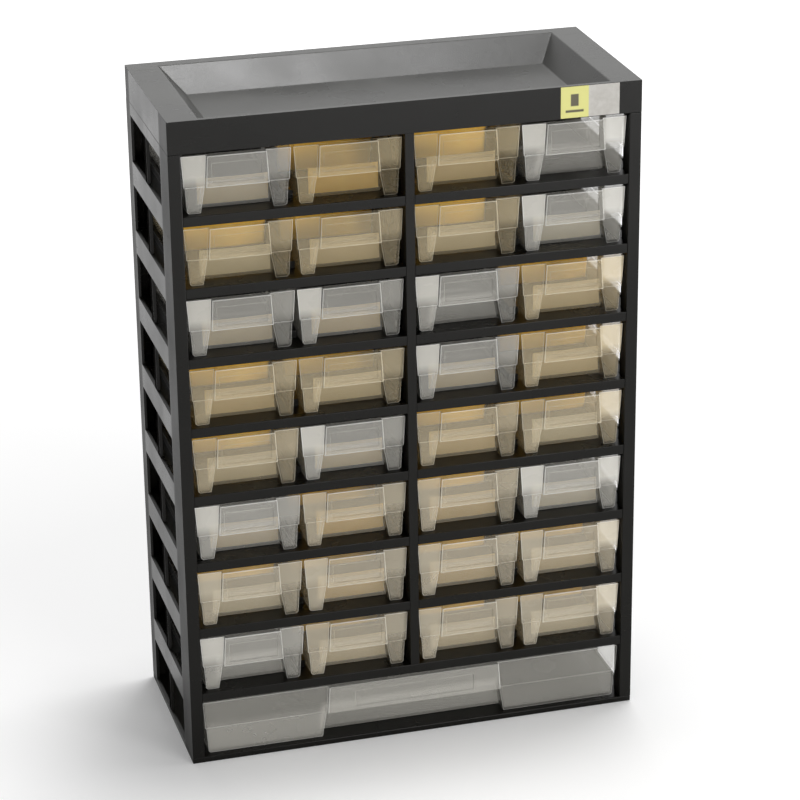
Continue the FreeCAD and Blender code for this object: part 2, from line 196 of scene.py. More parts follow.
def mixed(tree, share, first, second):
    """Two colours mixed."""
    values = {0: share, MIX_FIRST: first, MIX_SECOND: second}
    return add_node(tree, "ShaderNodeMix", values, data_type="RGBA").outputs[MIX_RESULT]


def set_bump(tree, shader, height, strength, depth):
    """Small relief that only the light sees, depth in metres."""
    values = {"Height": height, "Strength": strength, "Distance": depth}
    normal = add_node(tree, "ShaderNodeBump", values).outputs["Normal"]
    tree.links.new(normal, shader.inputs["Normal"])


print("material helpers ready")

# %% [markdown]
# ## Black moulded plastic
# The carcass is injection moulded in black plastic with a satin face. Real ones aren't
# evenly black: the mould leaves a fine grain, the gloss drifts where the plastic cooled
# unevenly, handling leaves faint scuffs, and what faces up and lies open is painted grey, as
# dust and as a painted sheen for the light it catches. The posts at the edges of the sides come
# rough from the mould, the bars between the windows smooth.

# %% Make the carcass plastic
CARCASS_BLACK = (0.0032, 0.0028, 0.0018, 1)
CARCASS_DUST_AND_SHEEN = (0.13, 0.13, 0.125, 1)
CARCASS_IOR = 1.5
CARCASS_SHINE = 0.18
OPEN_MARK = "open_to_dust_and_sheen"
# dust and painted sheen: how level a face is where it starts and where it is full, its least and
# most share of the colour, and the noise between which it changes
LEVEL_FROM, LEVEL_TO = 0.3, 0.95
DUST_AND_SHEEN_LEAST, DUST_AND_SHEEN_MOST = 0.6, 0.85
DUST_AND_SHEEN_FROM, DUST_AND_SHEEN_TO = 0.35, 0.7
# gloss: its drift, and the roughness at the drift's low and high noise
DRIFT_PER_METRE, DRIFT_DETAIL = 22, 3
DRIFT_FROM, DRIFT_TO = 0.3, 0.7
CARCASS_GLOSSY, CARCASS_DULL = 0.24, 0.34
# scuffs: drawn out and turned noise, of which only the top shows
SCUFFS_PER_METRE, SCUFF_DETAIL, SCUFF_ROUGHNESS = 90, 6, 0.7
SCUFF_STRETCH, SCUFF_TURN = (0.25, 1, 4), (0.4, 0.3, 0.2)
SCUFF_FROM, SCUFF_TO = 0.6, 0.75
SCUFF_DULLNESS = 0.12
# posts: how squarely a face looks sideways, where the bars between the windows start and end
# in metres from the middle, and how much rougher the posts beside them are
SIDE_FROM, SIDE_TO = 0.6, 0.95
BARS_FROM, BARS_TO, BARS_SOFT = -0.0415, 0.0535, 0.002
POST_DULLNESS = 0.18
GRAIN_PER_METRE, GRAIN_DETAIL = 1400, 1
GRAIN_STRENGTH, GRAIN_DEPTH = 0.12, 0.0004


def carcass_plastic():
    material, tree, shader = new_finish("carcass_plastic_satin")
    place = add_node(tree, "ShaderNodeTexCoord").outputs["Object"]
    facing = parts_of(tree, add_node(tree, "ShaderNodeNewGeometry").outputs["Normal"])
    drift = noise(tree, place, DRIFT_PER_METRE, DRIFT_DETAIL)
    level = spread(tree, facing["Z"], 0, 1, LEVEL_FROM, LEVEL_TO)
    patchy = spread(tree, drift, DUST_AND_SHEEN_LEAST, DUST_AND_SHEEN_MOST, DUST_AND_SHEEN_FROM, DUST_AND_SHEEN_TO)
    # dust and painted sheen: level open faces turn grey, partly dust and partly a painted sheen for
    # the light they catch
    dust_and_sheen = times(tree, level, patchy, mark_of(tree, OPEN_MARK))
    colour = mixed(tree, dust_and_sheen, CARCASS_BLACK, CARCASS_DUST_AND_SHEEN)
    tree.links.new(colour, shader.inputs["Base Color"])

    drawn = add_node(tree, "ShaderNodeMapping",
                     {"Vector": place, "Scale": SCUFF_STRETCH, "Rotation": SCUFF_TURN})
    scuffs = noise(tree, drawn.outputs[0], SCUFFS_PER_METRE, SCUFF_DETAIL, SCUFF_ROUGHNESS)
    scuffs = spread(tree, scuffs, 0, 1, SCUFF_FROM, SCUFF_TO)
    sideways = spread(tree, times(tree, facing["X"], facing["X"]), 0, 1, SIDE_FROM, SIDE_TO)
    bars = inside(tree, parts_of(tree, place)["Y"], BARS_FROM, BARS_TO, BARS_SOFT)
    posts = times(tree, sideways, taken(tree, "SUBTRACT", 1.0, bars))
    rough = plus(tree, spread(tree, drift, CARCASS_GLOSSY, CARCASS_DULL, DRIFT_FROM, DRIFT_TO),
                 times(tree, scuffs, SCUFF_DULLNESS), times(tree, posts, POST_DULLNESS))
    tree.links.new(rough, shader.inputs["Roughness"])

    grain = noise(tree, place, GRAIN_PER_METRE, GRAIN_DETAIL)
    set_bump(tree, shader, grain, GRAIN_STRENGTH, GRAIN_DEPTH)
    shader.inputs["IOR"].default_value = CARCASS_IOR
    shader.inputs["Specular IOR Level"].default_value = CARCASS_SHINE
    return material


black_plastic = carcass_plastic()
print("made", black_plastic.name)

# %% [markdown]
# ## Milky clear plastic
# The drawers are thin-walled polypropylene. It lets some light straight through and scatters
# the rest, so a wall looks like a pale veil over what is inside. Where the light has more
# plastic to cross, at rims, ribs and corners and in the thick hood, the veil is whiter. Real
# glass shading would cost many bounces for walls this thin. A share of plain transparency gives
# the same veil, half of it on each face of a wall. Scattered light mostly goes on into the
# drawer, so a wall casts less shadow than it hides.
#
# The front is painted hazier at its upper corners and on its left leg: painted light, a whiter veil
# that stands for the brighter light falling on those parts of the front. An amber divider colours
# the light inside its drawer, and that light is painted into the plastic's colour, so such a drawer
# is warmer.

# %% Name a drawer's marks and place its painted light
# what the drawers' meshes carry for the plastic to read
EDGE_MARK = "rounded_edge"
HOOD_MARK = "hood_face"
FLANGE_MARK = "flange_face"
SCOOP_MARK = "scoop_face"
PAINTED_LIGHT_LEFT = "painted_light_left"
PAINTED_LIGHT_RIGHT = "painted_light_right"
MILK_MARK = "milkiness"
PAINTED_AMBER_MARK = "painted_amber_light"
MOULD_PLACE = "mould_place"
# where the painted light sets in, in millimetres like mould_place: the heights on a drawer's front,
# and how far to each side of its middle left turns into right
PAINTED_LIGHT_FROM, PAINTED_LIGHT_TO = 17.0, 24.0
PAINTED_LIGHT_MIDDLE = 1.0
# painted light: this veil makes a flange's upper corner and left leg whiter, standing for the light
# they get
PAINTED_LIGHT_VEIL = 0.5
LEG_PAINTED_LIGHT_VEIL = 0.16


def flange_painted_light(tree):
    """What painted light adds to the veil of a flange, as haze: at the top by its side, and on its
    left leg.
    """
    spot = parts_of(tree, mark_of(tree, MOULD_PLACE, "Vector"))
    high = spread(tree, spot["Z"], 0, 1, PAINTED_LIGHT_FROM, PAINTED_LIGHT_TO)
    low = spread(tree, spot["Z"], 1, 0, PAINTED_LIGHT_FROM, PAINTED_LIGHT_TO)
    right_side = spread(tree, spot["X"], 0, 1, -PAINTED_LIGHT_MIDDLE, PAINTED_LIGHT_MIDDLE)
    left_side = spread(tree, spot["X"], 1, 0, -PAINTED_LIGHT_MIDDLE, PAINTED_LIGHT_MIDDLE)
    haze = plus(tree, times(tree, left_side, mark_of(tree, PAINTED_LIGHT_LEFT)),
                times(tree, right_side, mark_of(tree, PAINTED_LIGHT_RIGHT)))
    return times(tree, mark_of(tree, FLANGE_MARK),
                 plus(tree, times(tree, haze, high, PAINTED_LIGHT_VEIL),
                      times(tree, left_side, low, LEG_PAINTED_LIGHT_VEIL)))


print("the haze lies above", PAINTED_LIGHT_FROM, "mm")

# %% Make the drawer plastic
MILKY = (0.80, 0.775, 0.70, 1)
# painted highlight: the bevels' lighter colour stands for light gathering along the rounded edges
MILKY_PAINTED_EDGE_GLOW = (0.94, 0.93, 0.89, 1)
# painted light: these warm colours stand for amber light that a divider scatters onto the plastic
MILKY_PAINTED_AMBER = (0.96, 0.76, 0.40, 1)
PAINTED_AMBER_EDGE_GLOW = (0.97, 0.86, 0.62, 1)
DRAWER_IOR = 1.49
# what each face hides: a plain wall at least and at most, and what the hood, the scoop, a
# grazing view, a rounded edge and each unit of milkiness add
WALL_LEAST, WALL_MOST = 0.025, 0.045
HOOD_VEIL = 0.14
SCOOP_VEIL = 0.09
GRAZING_VEIL, GRAZING_BLEND = 0.12, 0.35
EDGE_VEIL = 0.28
MILK_VEIL = 0.065
SHADOW_SHARE = 0.3
# flow marks from the moulding, drawn out along the drawer
FLOW_PER_METRE, FLOW_DETAIL, FLOW_ROUGHNESS = 18, 4, 0.6
FLOW_STRETCH = (1, 0.35, 1.6)
FLOW_FROM, FLOW_TO = 0.3, 0.7
FLOW_STRENGTH, FLOW_DEPTH = 0.06, 0.001
DRAWER_GLOSSY, DRAWER_DULL = 0.2, 0.34


def drawer_plastic():
    material, tree, shader = new_finish("drawer_plastic_milky")
    place = add_node(tree, "ShaderNodeTexCoord").outputs["Object"]
    edge = mark_of(tree, EDGE_MARK)
    cool = mixed(tree, edge, MILKY, MILKY_PAINTED_EDGE_GLOW)
    painted_amber_colour = mixed(tree, edge, MILKY_PAINTED_AMBER, PAINTED_AMBER_EDGE_GLOW)
    colour = mixed(tree, mark_of(tree, PAINTED_AMBER_MARK), cool, painted_amber_colour)
    tree.links.new(colour, shader.inputs["Base Color"])

    drawn = add_node(tree, "ShaderNodeMapping", {"Vector": place, "Scale": FLOW_STRETCH})
    flow = noise(tree, drawn.outputs[0], FLOW_PER_METRE, FLOW_DETAIL, FLOW_ROUGHNESS)
    grazing = add_node(tree, "ShaderNodeLayerWeight", {"Blend": GRAZING_BLEND}).outputs["Facing"]
    veil = plus(tree, spread(tree, flow, WALL_LEAST, WALL_MOST, FLOW_FROM, FLOW_TO),
                times(tree, mark_of(tree, MILK_MARK), MILK_VEIL), flange_painted_light(tree),
                times(tree, mark_of(tree, HOOD_MARK), HOOD_VEIL),
                times(tree, mark_of(tree, SCOOP_MARK), SCOOP_VEIL),
                times(tree, grazing, GRAZING_VEIL), times(tree, edge, EDGE_VEIL))
    shadow_ray = add_node(tree, "ShaderNodeLightPath").outputs["Is Shadow Ray"]
    alpha = times(tree, veil, spread(tree, shadow_ray, 1, SHADOW_SHARE))
    tree.links.new(alpha, shader.inputs["Alpha"])

    rough = spread(tree, flow, DRAWER_GLOSSY, DRAWER_DULL, FLOW_FROM, FLOW_TO)
    tree.links.new(rough, shader.inputs["Roughness"])
    set_bump(tree, shader, flow, FLOW_STRENGTH, FLOW_DEPTH)
    shader.inputs["IOR"].default_value = DRAWER_IOR
    return material


milky_plastic = drawer_plastic()
print("made", milky_plastic.name)

# %% [markdown]
# ## Amber card
# The dividers and the loose label slips are amber. A slight mottle and a matt face keep them
# from looking like painted metal. The slips are paler card that has yellowed by different
# amounts, so each slip carries its own depth of colour.

# %% Make the amber cards
DIVIDER_DEEP = (0.96, 0.51, 0.03, 1)
DIVIDER_MOTTLE = (0.97, 0.58, 0.06, 1)
SLIP_DEEP = (0.56, 0.31, 0.01, 1)
SLIP_MOTTLE = (0.58, 0.36, 0.04, 1)
SLIP_FADED = (0.47, 0.405, 0.25, 1)
DEPTH_MARK = "card_depth"
MOTTLE_PER_METRE, MOTTLE_DETAIL, MOTTLE_ROUGHNESS = 120, 5, 0.6
MOTTLE_FROM, MOTTLE_TO = 0.3, 0.7
CARD_GLOSSY, CARD_DULL = 0.5, 0.65
FIBRES_PER_METRE, FIBRE_DETAIL = 2200, 2
FIBRE_STRENGTH, FIBRE_DEPTH = 0.2, 0.0003


def amber_card(name, deep, mottled, faded):
    material, tree, shader = new_finish(name)
    place = add_node(tree, "ShaderNodeTexCoord").outputs["Object"]
    mottle = noise(tree, place, MOTTLE_PER_METRE, MOTTLE_DETAIL, MOTTLE_ROUGHNESS)
    mottle = spread(tree, mottle, 0, 1, MOTTLE_FROM, MOTTLE_TO)
    amber = mixed(tree, mottle, deep, mottled)
    colour = mixed(tree, mark_of(tree, DEPTH_MARK), faded, amber)
    tree.links.new(colour, shader.inputs["Base Color"])
    tree.links.new(spread(tree, mottle, CARD_GLOSSY, CARD_DULL), shader.inputs["Roughness"])
    fibres = noise(tree, place, FIBRES_PER_METRE, FIBRE_DETAIL)
    set_bump(tree, shader, fibres, FIBRE_STRENGTH, FIBRE_DEPTH)
    return material


divider_amber = amber_card("divider_amber", DIVIDER_DEEP, DIVIDER_MOTTLE, DIVIDER_MOTTLE)
slip_card = amber_card("slip_card_yellowed", SLIP_DEEP, SLIP_MOTTLE, SLIP_FADED)
print("made", divider_amber.name, "and", slip_card.name)

# %% [markdown]
# ## Rounded edges
# A mould can't make a knife edge, and it is the small rounding that catches the light. The
# frame's meshes are loose triangles with sharp edges, so each moulding is copied, merged,
# cleaned to flat faces and bevelled. Where two edges lie close together, each gets a smaller
# radius, so that their bevels never cross. The bevel marks its own faces, and the milky plastic
# reads that mark for a whiter veil and a painted glow, a lighter colour along its edges.

# %% Set finished meshes and marks
MILLIMETRE = 0.001


def finished_mesh(piece):
    """The piece with its modifiers turned into a plain mesh."""
    bpy.context.view_layer.update()
    evaluated = piece.evaluated_get(bpy.context.evaluated_depsgraph_get())
    mesh = bpy.data.meshes.new_from_object(evaluated)
    piece.modifiers.clear()
    piece.data = mesh
    return mesh


def new_piece(name, mesh, material):
    piece = bpy.data.objects.new(name, mesh)
    bpy.context.collection.objects.link(piece)
    mesh.materials.clear()
    mesh.materials.append(material)
    return piece


def set_mark(mesh, name, values, domain="POINT"):
    """A number for each face or point, for the material to read."""
    mark = mesh.attributes.new(name, "FLOAT", domain)
    mark.data.foreach_set("value", values)


def set_even_mark(mesh, name, value):
    """The same number all over the mesh."""
    set_mark(mesh, name, [value] * len(mesh.vertices))


print("marks and meshes ready")

# %% [markdown]
# ## Room for a bevel
# A segment's end is compared with every other segment. For two straight edges that don't
# cross, the smallest gap is always found at an end of one of them.

# %% Measure the gap beside each sharp edge
# metres, for an edge that has no other beside it
FAR_APART = 1.0


def to_segment(points, start, end):
    """The distance from each point to a segment, or from one point to each segment."""
    along = end - start
    share = np.clip(((points - start) * along).sum(-1) / (along * along).sum(-1), 0, 1)
    return np.linalg.norm(points - start - share[..., None] * along, axis=-1)


def gaps_to_others(edges):
    """The distance from each edge to the nearest one that shares no corner with it."""
    starts = np.array([edge.verts[0].co[:] for edge in edges])
    ends = np.array([edge.verts[1].co[:] for edge in edges])
    corners = np.array([[vertex.index for vertex in edge.verts] for edge in edges])
    gaps = []
    for start, end, (first, second) in zip(starts, ends, corners):
        near = np.minimum.reduce([
            to_segment(start, starts, ends), to_segment(end, starts, ends),
            to_segment(starts, start, end), to_segment(ends, start, end)])
        apart = ((corners != first) & (corners != second)).all(axis=1)
        gaps.append(near[apart].min() if apart.any() else FAR_APART)
    return gaps


print("gap measuring ready")

# %% [markdown]
# ## Flat faces in sound triangles
# A bevel moves the corners of a large face, and a face with windows in it can end up crossing
# itself. Each flat area is therefore cut again from its own outline, and the triangles that lie
# in its windows are left out.

# %% Find the flat areas
# faces that lean less than this against each other are one flat area
FLAT_ANGLE = math.radians(0.5)


def same_flat(face, other):
    """Whether both faces are flat ones of the moulding, not of the bevel, in one plane."""
    return not other.material_index and other.normal.angle(face.normal, math.pi) < FLAT_ANGLE


def flat_areas(work):
    """Groups of coplanar faces that touch. Faces of the bevel are left out."""
    groups, seen = [], set()
    for face in work.faces:
        if face in seen or face.material_index:
            continue
        group, waiting = [], [face]
        seen.add(face)
        while waiting:
            current = waiting.pop()
            group.append(current)
            for edge in current.edges:
                for other in edge.link_faces:
                    if other not in seen and same_flat(face, other):
                        seen.add(other)
                        waiting.append(other)
        groups.append(group)
    return groups


def in_outline(spot, lines):
    """Whether a line from the spot to the right crosses the outline an odd number of times."""
    crossings = 0
    for first, second in lines:
        if (first.y > spot.y) != (second.y > spot.y):
            rise = (spot.y - first.y) / (second.y - first.y)
            crossings += spot.x < first.x + rise * (second.x - first.x)
    return crossings % 2 == 1


print("flat areas ready")

# %% [markdown]
# ## A flat area cut again
# Blender's Delaunay triangulation takes the outline as fixed lines. It works in the plane of the
# area, in millimetres, and each new triangle goes back to the corners that it came from.

# %% Cut a flat area again
# the triangulation keeps to the outline, and takes points this near for one, in millimetres
KEEP_TO_OUTLINE = 1
SAME_POINT = 1e-6


def edge_of(group):
    """The outline of a group of faces: the edges that only one of them has."""
    return [edge for face in group for edge in face.edges
            if sum(other in group for other in edge.link_faces) == 1]


def cut_again(work, group):
    """New triangles for one flat area, from its outline."""
    outline = edge_of(group)
    corners = list({vertex: None for edge in outline for vertex in edge.verts})
    place = {vertex: index for index, vertex in enumerate(corners)}
    normal = sum((face.normal * face.calc_area() for face in group), Vector()).normalized()
    across = normal.orthogonal().normalized()
    along = normal.cross(across)
    flat = [Vector((vertex.co.dot(across), vertex.co.dot(along))) / MILLIMETRE
            for vertex in corners]
    lines = [tuple(place[vertex] for vertex in edge.verts) for edge in outline]
    points, _, triangles, sources, _, _ = delaunay_2d_cdt(
        flat, lines, [], KEEP_TO_OUTLINE, SAME_POINT)
    outline_lines = [(flat[first], flat[second]) for first, second in lines]
    height = corners[0].co.dot(normal)
    made = []
    for point, source in zip(points, sources):
        if source:
            made.append(corners[source[0]])
        else:
            spot = (across * point.x + along * point.y) * MILLIMETRE + normal * height
            made.append(work.verts.new(spot))
    bmesh.ops.delete(work, geom=group, context="FACES_ONLY")
    faces = []
    for triangle in triangles:
        middle = sum((points[index] for index in triangle), Vector((0, 0))) / len(triangle)
        if not in_outline(middle, outline_lines):
            continue
        spots = [made[index] for index in triangle]
        if (spots[1].co - spots[0].co).cross(spots[2].co - spots[0].co).dot(normal) < 0:
            spots.reverse()
        if len(set(spots)) == len(spots) and not work.faces.get(spots):
            face = work.faces.new(spots)
            face.smooth = True
            faces.append(face)
    return faces, normal


print("cutting ready")

# %% [markdown]
# ## Normals that keep walls flat
# Smooth shading would bend a large flat wall towards its rounded edges. So each corner's normal
# points straight out of the flat areas that it touches, the larger ones counting for more.

# %% Set a normal for each corner
# an edge sharper than the first angle gets rounded, and flat areas that lean less than that
# share their normals; a face of the bevel takes in all flat areas within its reach
SHARP_ANGLE = math.radians(25)
BEVEL_REACH = math.radians(60)
# a flat area of one face with this many corners is sound as it is
QUAD_CORNERS = 4


def clean_flats(mesh):
    """The mesh with its flat areas cut again, and a normal for each corner."""
    work = bmesh.new()
    work.from_mesh(mesh)
    area_of, normals, sizes = {}, [], []
    for group in flat_areas(work):
        size = sum(face.calc_area() for face in group)
        if len(group) == 1 and len(group[0].verts) <= QUAD_CORNERS:
            faces, normal = group, group[0].normal.copy()
        else:
            faces, normal = cut_again(work, group)
        area_of.update((face, len(normals)) for face in faces)
        normals.append(normal)
        sizes.append(size)
    loose = [edge for edge in work.edges if not edge.link_faces]
    bmesh.ops.delete(work, geom=loose, context="EDGES")
    work.normal_update()
    corner_normals = []
    for face in work.faces:
        own = area_of.get(face)
        facing = face.normal if own is None else normals[own]
        reach = BEVEL_REACH if own is None else SHARP_ANGLE
        for vertex in face.verts:
            touched = {area_of[other] for other in vertex.link_faces if other in area_of}
            near = [area for area in touched if normals[area].angle(facing, 0) < reach]
            total = sum((normals[area] * sizes[area] for area in near), Vector())
            corner_normals.append((total if near else vertex.normal).normalized())
    work.to_mesh(mesh)
    work.free()
    mesh.normals_split_custom_set(corner_normals)


print("corner normals ready")

# %% [markdown]
# ## One moulding with rounded edges
# The copy gets a bevel weight on each sharp edge, and the bevel goes by that weight. What the
# bevel pushes past the CAD's box is brought back to it, so the dressed piece keeps its size.

# %% Weigh the edges for the bevel
MERGE_DISTANCE = 1e-6
# share of the gap between two edges that one bevel may take
GAP_SHARE = 0.4
# how many times as round as its sharpest neighbour an edge may be: on the carcass, on a drawer
CARCASS_RATIO, DRAWER_RATIO = 1.0, 2.0


def even_radius(middle):
    """The whole radius, wherever the edge lies."""
    return 1.0


def weighed_copy(node, name, radius, share, ratio):
    """A merged copy of a CAD node's mesh, with the share of the radius for each sharp edge."""
    work = bmesh.new()
    work.from_mesh(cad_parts[node].data)
    bmesh.ops.remove_doubles(work, verts=work.verts, dist=MERGE_DISTANCE)
    bmesh.ops.dissolve_limit(work, angle_limit=FLAT_ANGLE, verts=work.verts, edges=work.edges)
    weight = work.edges.layers.float.new("bevel_weight_edge")
    work.verts.index_update()
    sharp = [edge for edge in work.edges
             if len(edge.link_faces) == 2 and edge.calc_face_angle() > SHARP_ANGLE]
    shares = {}
    for edge, gap in zip(sharp, gaps_to_others(sharp)):
        middle = (edge.verts[0].co + edge.verts[1].co) / 2
        shares[edge] = min(share(middle), GAP_SHARE * gap / radius)
    for edge, own in shares.items():
        beside = [shares[other] for vertex in edge.verts
                  for other in vertex.link_edges if other in shares]
        edge[weight] = min(own, ratio * min(beside))
    for face in work.faces:
        face.smooth = True
    mesh = bpy.data.meshes.new(name)
    work.to_mesh(mesh)
    work.free()
    carried = mesh.attributes.get("custom_normal")
    if carried:
        mesh.attributes.remove(carried)
    return mesh


print("edge weights ready")

# %% Round the edges of a moulding
BEVEL_SEGMENTS = 2
# the bevel's faces go to a second material slot for a while, which tells them from the others
BEVEL_SLOT = 1


def rounded(node, name, radius, material, share=even_radius, ratio=CARCASS_RATIO):
    """A copy of a CAD node's moulding with its sharp edges rounded. The share of the radius
    that an edge gets goes by its middle, and by how round its neighbours are."""
    piece = new_piece(name, weighed_copy(node, name, radius, share, ratio), material)
    piece.data.materials.append(material)
    bevel = piece.modifiers.new("round", "BEVEL")
    bevel.width = radius
    bevel.segments = BEVEL_SEGMENTS
    bevel.limit_method = "WEIGHT"
    bevel.material = BEVEL_SLOT
    mesh = finished_mesh(piece)
    low, high = (Vector(corner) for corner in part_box(node))
    for vertex in mesh.vertices:
        for axis in range(3):
            vertex.co[axis] = min(max(vertex.co[axis], low[axis]), high[axis])
    clean_flats(mesh)
    of_bevel = [float(face.material_index == BEVEL_SLOT) for face in mesh.polygons]
    set_mark(mesh, EDGE_MARK, of_bevel, "FACE")
    mesh.polygons.foreach_set("material_index", [0] * len(mesh.polygons))
    mesh.materials.pop(index=BEVEL_SLOT)
    return piece


def seat(piece, body, slot, *nodes):
    """The piece rides on a body and stands for CAD nodes, which are hidden. The slot is not used."""
    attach(piece, body)
    if nodes:
        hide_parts(*nodes)


print("edge rounding ready")

# %% [markdown]
# ## The carcass
# Sides, base, back, tray, upright and shelves are separate flat mouldings that snap together.
# Each keeps its own piece, so that the fine line where two of them meet is real.

# %% Dress the carcass
# radii in metres
CARCASS_RADII = {
    "side_left": 0.0006, "side_right": 0.0006, "base": 0.0006, "back_panel": 0.0004,
    "centre_upright": 0.0006,
}
TRAY_RADIUS = 0.0012
SHELF_RADIUS = 0.0012
# how round a shelf is behind its rail's front, and the tray's front edges are
SHELF_REST_SHARE = 0.35
TRAY_FRONT_SHARE = 0.2
# how near to the sticker's seat an edge counts as its own: beside it and above it, in metres
SEAT_MARGIN, SEAT_TOP_MARGIN = 0.001, 0.0001
SHELF_COUNT = sum(name.startswith("shelf_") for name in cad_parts)
FRONT_PLANE = cad_box[0][1]


def at_front(middle):
    return middle.y < FRONT_PLANE + MILLIMETRE


def rail_first(middle):
    """The rail's front edges are rounder than the rest of a shelf."""
    return 1.0 if at_front(middle) else SHELF_REST_SHARE


def beside_sticker(middle):
    """The tray's front edges stay sharp enough to leave room for the sticker's seat."""
    if not at_front(middle):
        return 1.0
    low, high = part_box("front_sticker")
    across = low[0] - SEAT_MARGIN < middle.x < high[0] + SEAT_MARGIN
    upwards = low[2] - SEAT_MARGIN < middle.z < high[2] + SEAT_TOP_MARGIN
    return 0.0 if across and upwards else TRAY_FRONT_SHARE


def dress_carcass(node, radius, share=even_radius):
    piece = rounded(node, node + "_moulding", radius, black_plastic, share)
    seat(piece, "carcass", "carcass_plastic", node)
    print(piece.name, len(piece.data.polygons), "faces")
    return piece


for node, radius in CARCASS_RADII.items():
    dress_carcass(node, radius)
tray = dress_carcass("top_tray", TRAY_RADIUS, beside_sticker)
# the tray takes the dust and the painted sheen
set_even_mark(tray.data, OPEN_MARK, 1.0)
for number in range(1, SHELF_COUNT + 1):
    dress_carcass(f"shelf_{number}", SHELF_RADIUS, rail_first)

# %% [markdown]
# ## One mould, many drawers
# All small drawers come from one mould, and so do the dividers and slips. A Geometry Nodes
# tree sets a casting at its place: it moves the master mesh by steps across and down, and gives
# it its material. Each result becomes a plain mesh that rides on its own drawer.

# %% Build the casting tree
def casting_tree():
    tree = bpy.data.node_groups.new("casting", "GeometryNodeTree")
    face = tree.interface
    face.new_socket(name="Master", in_out="INPUT", socket_type="NodeSocketGeometry")
    for name in ("Steps across", "Steps down", "Pitch across", "Pitch down"):
        face.new_socket(name=name, in_out="INPUT", socket_type="NodeSocketFloat")
    face.new_socket(name="Finish", in_out="INPUT", socket_type="NodeSocketMaterial")
    face.new_socket(name="Casting", in_out="OUTPUT", socket_type="NodeSocketGeometry")
    given = tree.nodes.new("NodeGroupInput").outputs

    def math_of(operation, first, second):
        values = {0: first, 1: second}
        return add_node(tree, "ShaderNodeMath", values, operation=operation).outputs[0]

    across = math_of("MULTIPLY", given["Steps across"], given["Pitch across"])
    down = math_of("MULTIPLY", given["Steps down"], given["Pitch down"])
    shift = add_node(tree, "ShaderNodeCombineXYZ",
                     {"X": across, "Z": math_of("SUBTRACT", 0.0, down)})
    spot = add_node(tree, "GeometryNodeMeshLine",
                    {"Count": 1, "Start Location": shift.outputs[0]}, mode="OFFSET")
    copies = add_node(tree, "GeometryNodeInstanceOnPoints",
                      {"Points": spot.outputs[0], "Instance": given["Master"]})
    solid = add_node(tree, "GeometryNodeRealizeInstances", {"Geometry": copies.outputs[0]})
    dressed = add_node(tree, "GeometryNodeSetMaterial",
                       {"Geometry": solid.outputs[0], "Material": given["Finish"]})
    result = tree.nodes.new("NodeGroupOutput")
    tree.links.new(dressed.outputs[0], result.inputs["Casting"])
    return tree


casting = casting_tree()
SOCKETS = {item.name: item.identifier
           for item in casting.interface.items_tree if item.in_out == "INPUT"}


def cast(master, name, material, **values):
    """One casting from the master mesh, as a plain mesh with its place in it."""
    piece = new_piece(name, master.copy(), material)
    modifier = piece.modifiers.new("casting", "NODES")
    modifier.node_group = casting
    modifier[SOCKETS["Finish"]] = material
    for key, value in values.items():
        modifier[SOCKETS[key.replace("_", " ").capitalize()]] = float(value)
    finished_mesh(piece)
    return piece


print("casting tree with inputs", ", ".join(SOCKETS))

# %% [markdown]
# ## Places on a drawer
# The edges of a drawer aren't all equally round, and not every face is equally milky. Both go by
# where a point lies on the drawer, measured from the middle of the foot of its front wall.

# %% Find places on a drawer
# in millimetres: the hood's front face, the flanges' front face, the back of the scoop, the
# outward step's foot and top, and the drawer's top
HOOD_FRONT = -3.0
FRONT_FACE = 0.8
SCOOP_BACK = 11.0
STEP_LOW, STEP_HIGH = 16.0, 19.5
DRAWER_TOP = 37.5
# half of a hood's width, where its foot lies, and how deep a rim reaches down
SMALL_HOOD_HALF = 18.5
WIDE_HOOD_HALF = 58.5
HOOD_FOOT = STEP_HIGH - 1.5
RIM_HEIGHT = 0.5
# how far behind its front an edge still belongs to the hood's face, and to its window's recess
HOOD_SKIN, HOOD_RECESS = 0.2, 1.2
# shares of the radius: the hood's outline, its top rim and its window, the recess behind it,
# the outward step, and all the rest
OUTLINE_SHARE, RIM_SHARE, WINDOW_SHARE = 1.0, 0.6, 0.3
RECESS_SHARE = 0.25
STEP_SHARE = 0.35
REST_SHARE = 0.5


def mould_origin(node):
    """Middle of the foot of a drawer's front wall."""
    low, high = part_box(node)
    return Vector(((low[0] + high[0]) / 2, low[1] - HOOD_FRONT * MILLIMETRE, low[2]))


def at_rim(up):
    return up > DRAWER_TOP - RIM_HEIGHT


def at_outline(across, up, hood_half):
    """Whether a spot on the hood lies at its sides or its foot, not round its window."""
    return abs(across) > hood_half or up < HOOD_FOOT


def drawer_shares(node, hood_half):
    """How round each edge is: most at the hood's outline, least at its label window."""
    origin = mould_origin(node)

    def share(middle):
        across, behind, up = (middle - origin) / MILLIMETRE
        if behind < HOOD_FRONT + HOOD_SKIN:
            if at_outline(across, up, hood_half):
                return OUTLINE_SHARE
            return RIM_SHARE if at_rim(up) else WINDOW_SHARE
        if behind < HOOD_FRONT + HOOD_RECESS:
            return RECESS_SHARE
        return STEP_SHARE if STEP_LOW < up < STEP_HIGH else REST_SHARE

    return share


print("a small drawer is", DRAWER_TOP, "mm tall")

# %% Mark the faces of a drawer
# a face looks to the front if its normal's Y is below this
LOOKS_FRONT = -0.7
# millimetres: how deep the hood's faces lie, how far before and behind their plane the flanges'
# faces do, and how far from its plane the scoop's do
HOOD_DEPTH = 1.5
FLANGE_BEFORE, FLANGE_BEHIND = -1.0, FRONT_FACE + 0.3
SCOOP_DEPTH = 0.5
# edges deeper inside than this get less painted glow than the outer ones, and so do those of the
# window
INSIDE_FROM = FRONT_FACE + 1.0
INNER_PAINTED_GLOW = 0.3


